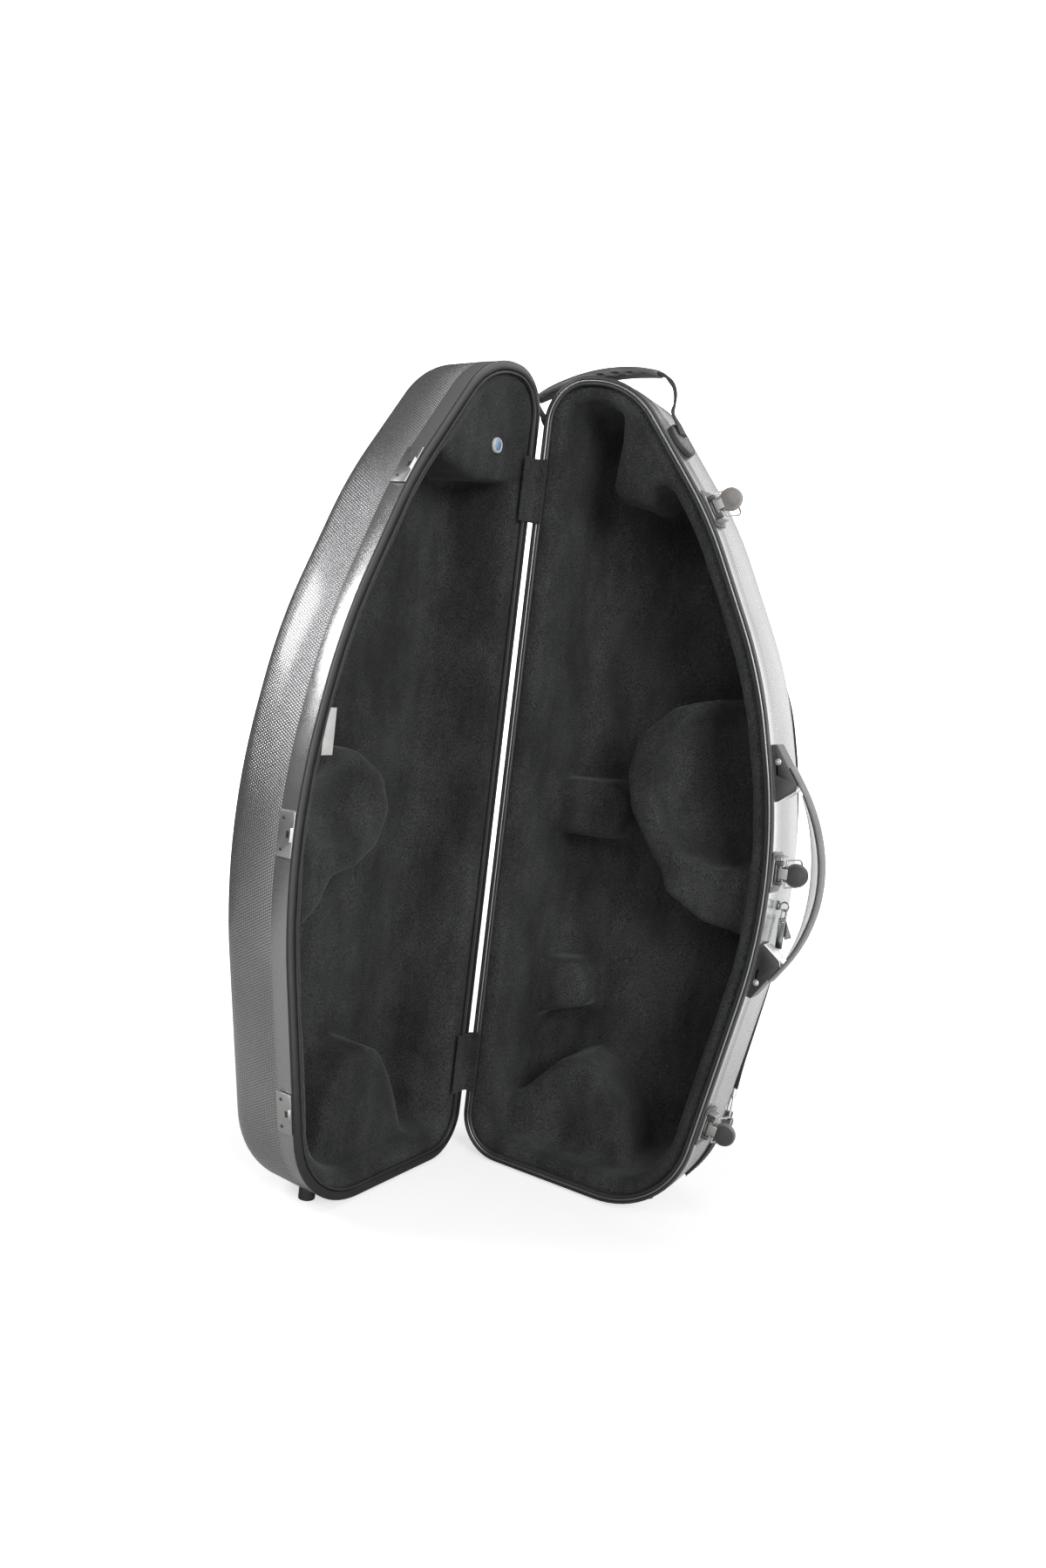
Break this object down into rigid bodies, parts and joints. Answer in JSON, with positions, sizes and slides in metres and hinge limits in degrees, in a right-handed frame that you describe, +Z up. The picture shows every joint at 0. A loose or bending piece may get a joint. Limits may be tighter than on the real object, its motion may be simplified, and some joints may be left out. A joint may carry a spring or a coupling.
{
  "type": "saxophone case",
  "caption": "Hard contour case for a tenor saxophone, standing on its lower end and open like a book, with plush lining, draw latches, carrying handles and shoulder straps.",
  "frame": {"origin": "middle of the bounding box's footprint, on the floor under the feet", "axes": "+Z up along the hinge axis; +X across the base half from the hinge to its free edge; +Y into the depth of the base half; the open lid half reaches along -Y"},
  "size_m": [0.4442, 0.4374, 0.826],
  "materials": {
    "shell": "silver, smooth near the rim, fine raised pattern elsewhere",
    "lid_rim": "black, satin",
    "base_rim": "dark grey, glossy bead",
    "plush": "short dark pile",
    "rubber": "matt",
    "steel": "plain",
    "catch": "satin",
    "latch": "grey, satin",
    "bail": "dull wire",
    "bracket": "near black, satin",
    "handle": "light grey body, grey outer strip",
    "grip": "grey, moulded",
    "webbing": "woven strap",
    "button": "pale blue"
  },
  "bodies": {
    "base": {"base_bell_cradle": "plush", "base_bow_block": "plush", "base_foot_inner": "rubber", "base_foot_outer": "rubber", "base_hinge_leaf_lower": "steel", "base_hinge_leaf_upper": "steel", "base_lining": "plush", "base_lower_rest": "plush", "base_neck_block": "plush", "base_rim": "base_rim", "base_shell": "shell", "base_upper_rest": "plush", "grip_anchor_hinge_side": "rubber", "grip_anchor_slope_side": "rubber", "handle_bracket_lower": "bracket", "handle_bracket_upper": "bracket", "handle_rivet_lower": "bracket", "handle_rivet_upper": "bracket", "hinge_cover_lower": "plush", "hinge_cover_upper": "plush", "hinge_pin_lower": "steel", "hinge_pin_upper": "steel", "key_eye": "steel", "latch_plate_lower": "latch", "latch_plate_middle": "latch", "latch_plate_upper": "latch", "shoulder_strap_inner": "webbing", "shoulder_strap_outer": "webbing", "snap_hook_inner": "steel", "snap_hook_outer": "steel", "strap_lug_inner": "bracket", "strap_lug_outer": "bracket", "strap_tail": "webbing"},
    "lid": {"catch_plate_lower": "catch", "catch_plate_middle": "catch", "catch_plate_upper": "catch", "lid_bell_pad": "plush", "lid_bow_block": "plush", "lid_button": "button", "lid_foot_inner": "rubber", "lid_foot_outer": "rubber", "lid_hinge_leaf_lower": "steel", "lid_hinge_leaf_upper": "steel", "lid_lining": "plush", "lid_neck_block": "plush", "lid_rim": "lid_rim", "lid_seal": "rubber", "lid_shell": "shell"},
    "lever_upper": {"latch_lever_upper": "latch"},
    "bail_upper": {"latch_bail_upper": "bail"},
    "lever_middle": {"latch_lever_middle": "latch"},
    "bail_middle": {"latch_bail_middle": "bail"},
    "lever_lower": {"latch_lever_lower": "latch"},
    "bail_lower": {"latch_bail_lower": "bail"},
    "side_handle": {"side_handle": "handle"},
    "top_handle": {"top_handle_grip": "grip", "top_handle_webbing": "webbing"},
    "key_set": {"key_ring": "steel", "case_key": "steel", "case_key_spare": "steel"}
  },
  "joints": [
    {"name": "lid_hinge", "type": "hinge", "parent": "base", "child": "lid", "pos_m": [-0.12709, 0.08944, 0.403], "axis": [0, 0, 1], "range_deg": [-50, 90], "deforming": ["hinge_cover_upper", "hinge_cover_lower"]},
    {"name": "latch_upper_turn", "type": "hinge", "parent": "base", "child": "lever_upper", "pos_m": [0.07066, 0.09894, 0.6935], "axis": [-0.5365, 0, 0.8439], "range_deg": [0, 78]},
    {"name": "bail_upper_turn", "type": "hinge", "parent": "lever_upper", "child": "bail_upper", "pos_m": [0.07561, 0.10019, 0.69665], "axis": [-0.5365, 0, 0.8439], "range_deg": [-245, 3]},
    {"name": "latch_middle_turn", "type": "hinge", "parent": "base", "child": "lever_middle", "pos_m": [0.18205, 0.09894, 0.36463], "axis": [-0.0228, 0, 0.9997], "range_deg": [0, 78]},
    {"name": "bail_middle_turn", "type": "hinge", "parent": "lever_middle", "child": "bail_middle", "pos_m": [0.18792, 0.10019, 0.36476], "axis": [-0.0228, 0, 0.9997], "range_deg": [-245, 3]},
    {"name": "latch_lower_turn", "type": "hinge", "parent": "base", "child": "lever_lower", "pos_m": [0.1482, 0.09894, 0.10893], "axis": [0.1907, 0, 0.9816], "range_deg": [0, 78]},
    {"name": "bail_lower_turn", "type": "hinge", "parent": "lever_lower", "child": "bail_lower", "pos_m": [0.15396, 0.10019, 0.10781], "axis": [0.1907, 0, 0.9816], "range_deg": [-245, 3]},
    {"name": "side_handle_lift", "type": "slide", "parent": "base", "child": "side_handle", "axis": [0.9997, 0, 0.0228], "range_m": [0, 0.004]},
    {"name": "top_handle_lift", "type": "slide", "parent": "base", "child": "top_handle", "axis": [0, 0, 1], "range_m": [0, 0.008], "deforming": ["top_handle_webbing"]},
    {"name": "key_swing", "type": "hinge", "parent": "base", "child": "key_set", "pos_m": [0.18236, 0.12544, 0.32615], "axis": [0.9997, 0, 0.0228], "range_deg": [-8, 35]}
  ],
  "couplings": [
    {"joint": "bail_upper_turn", "follows": "latch_upper_turn", "ratio": -3.128},
    {"joint": "bail_middle_turn", "follows": "latch_middle_turn", "ratio": -3.128},
    {"joint": "bail_lower_turn", "follows": "latch_lower_turn", "ratio": -3.128}
  ]
}
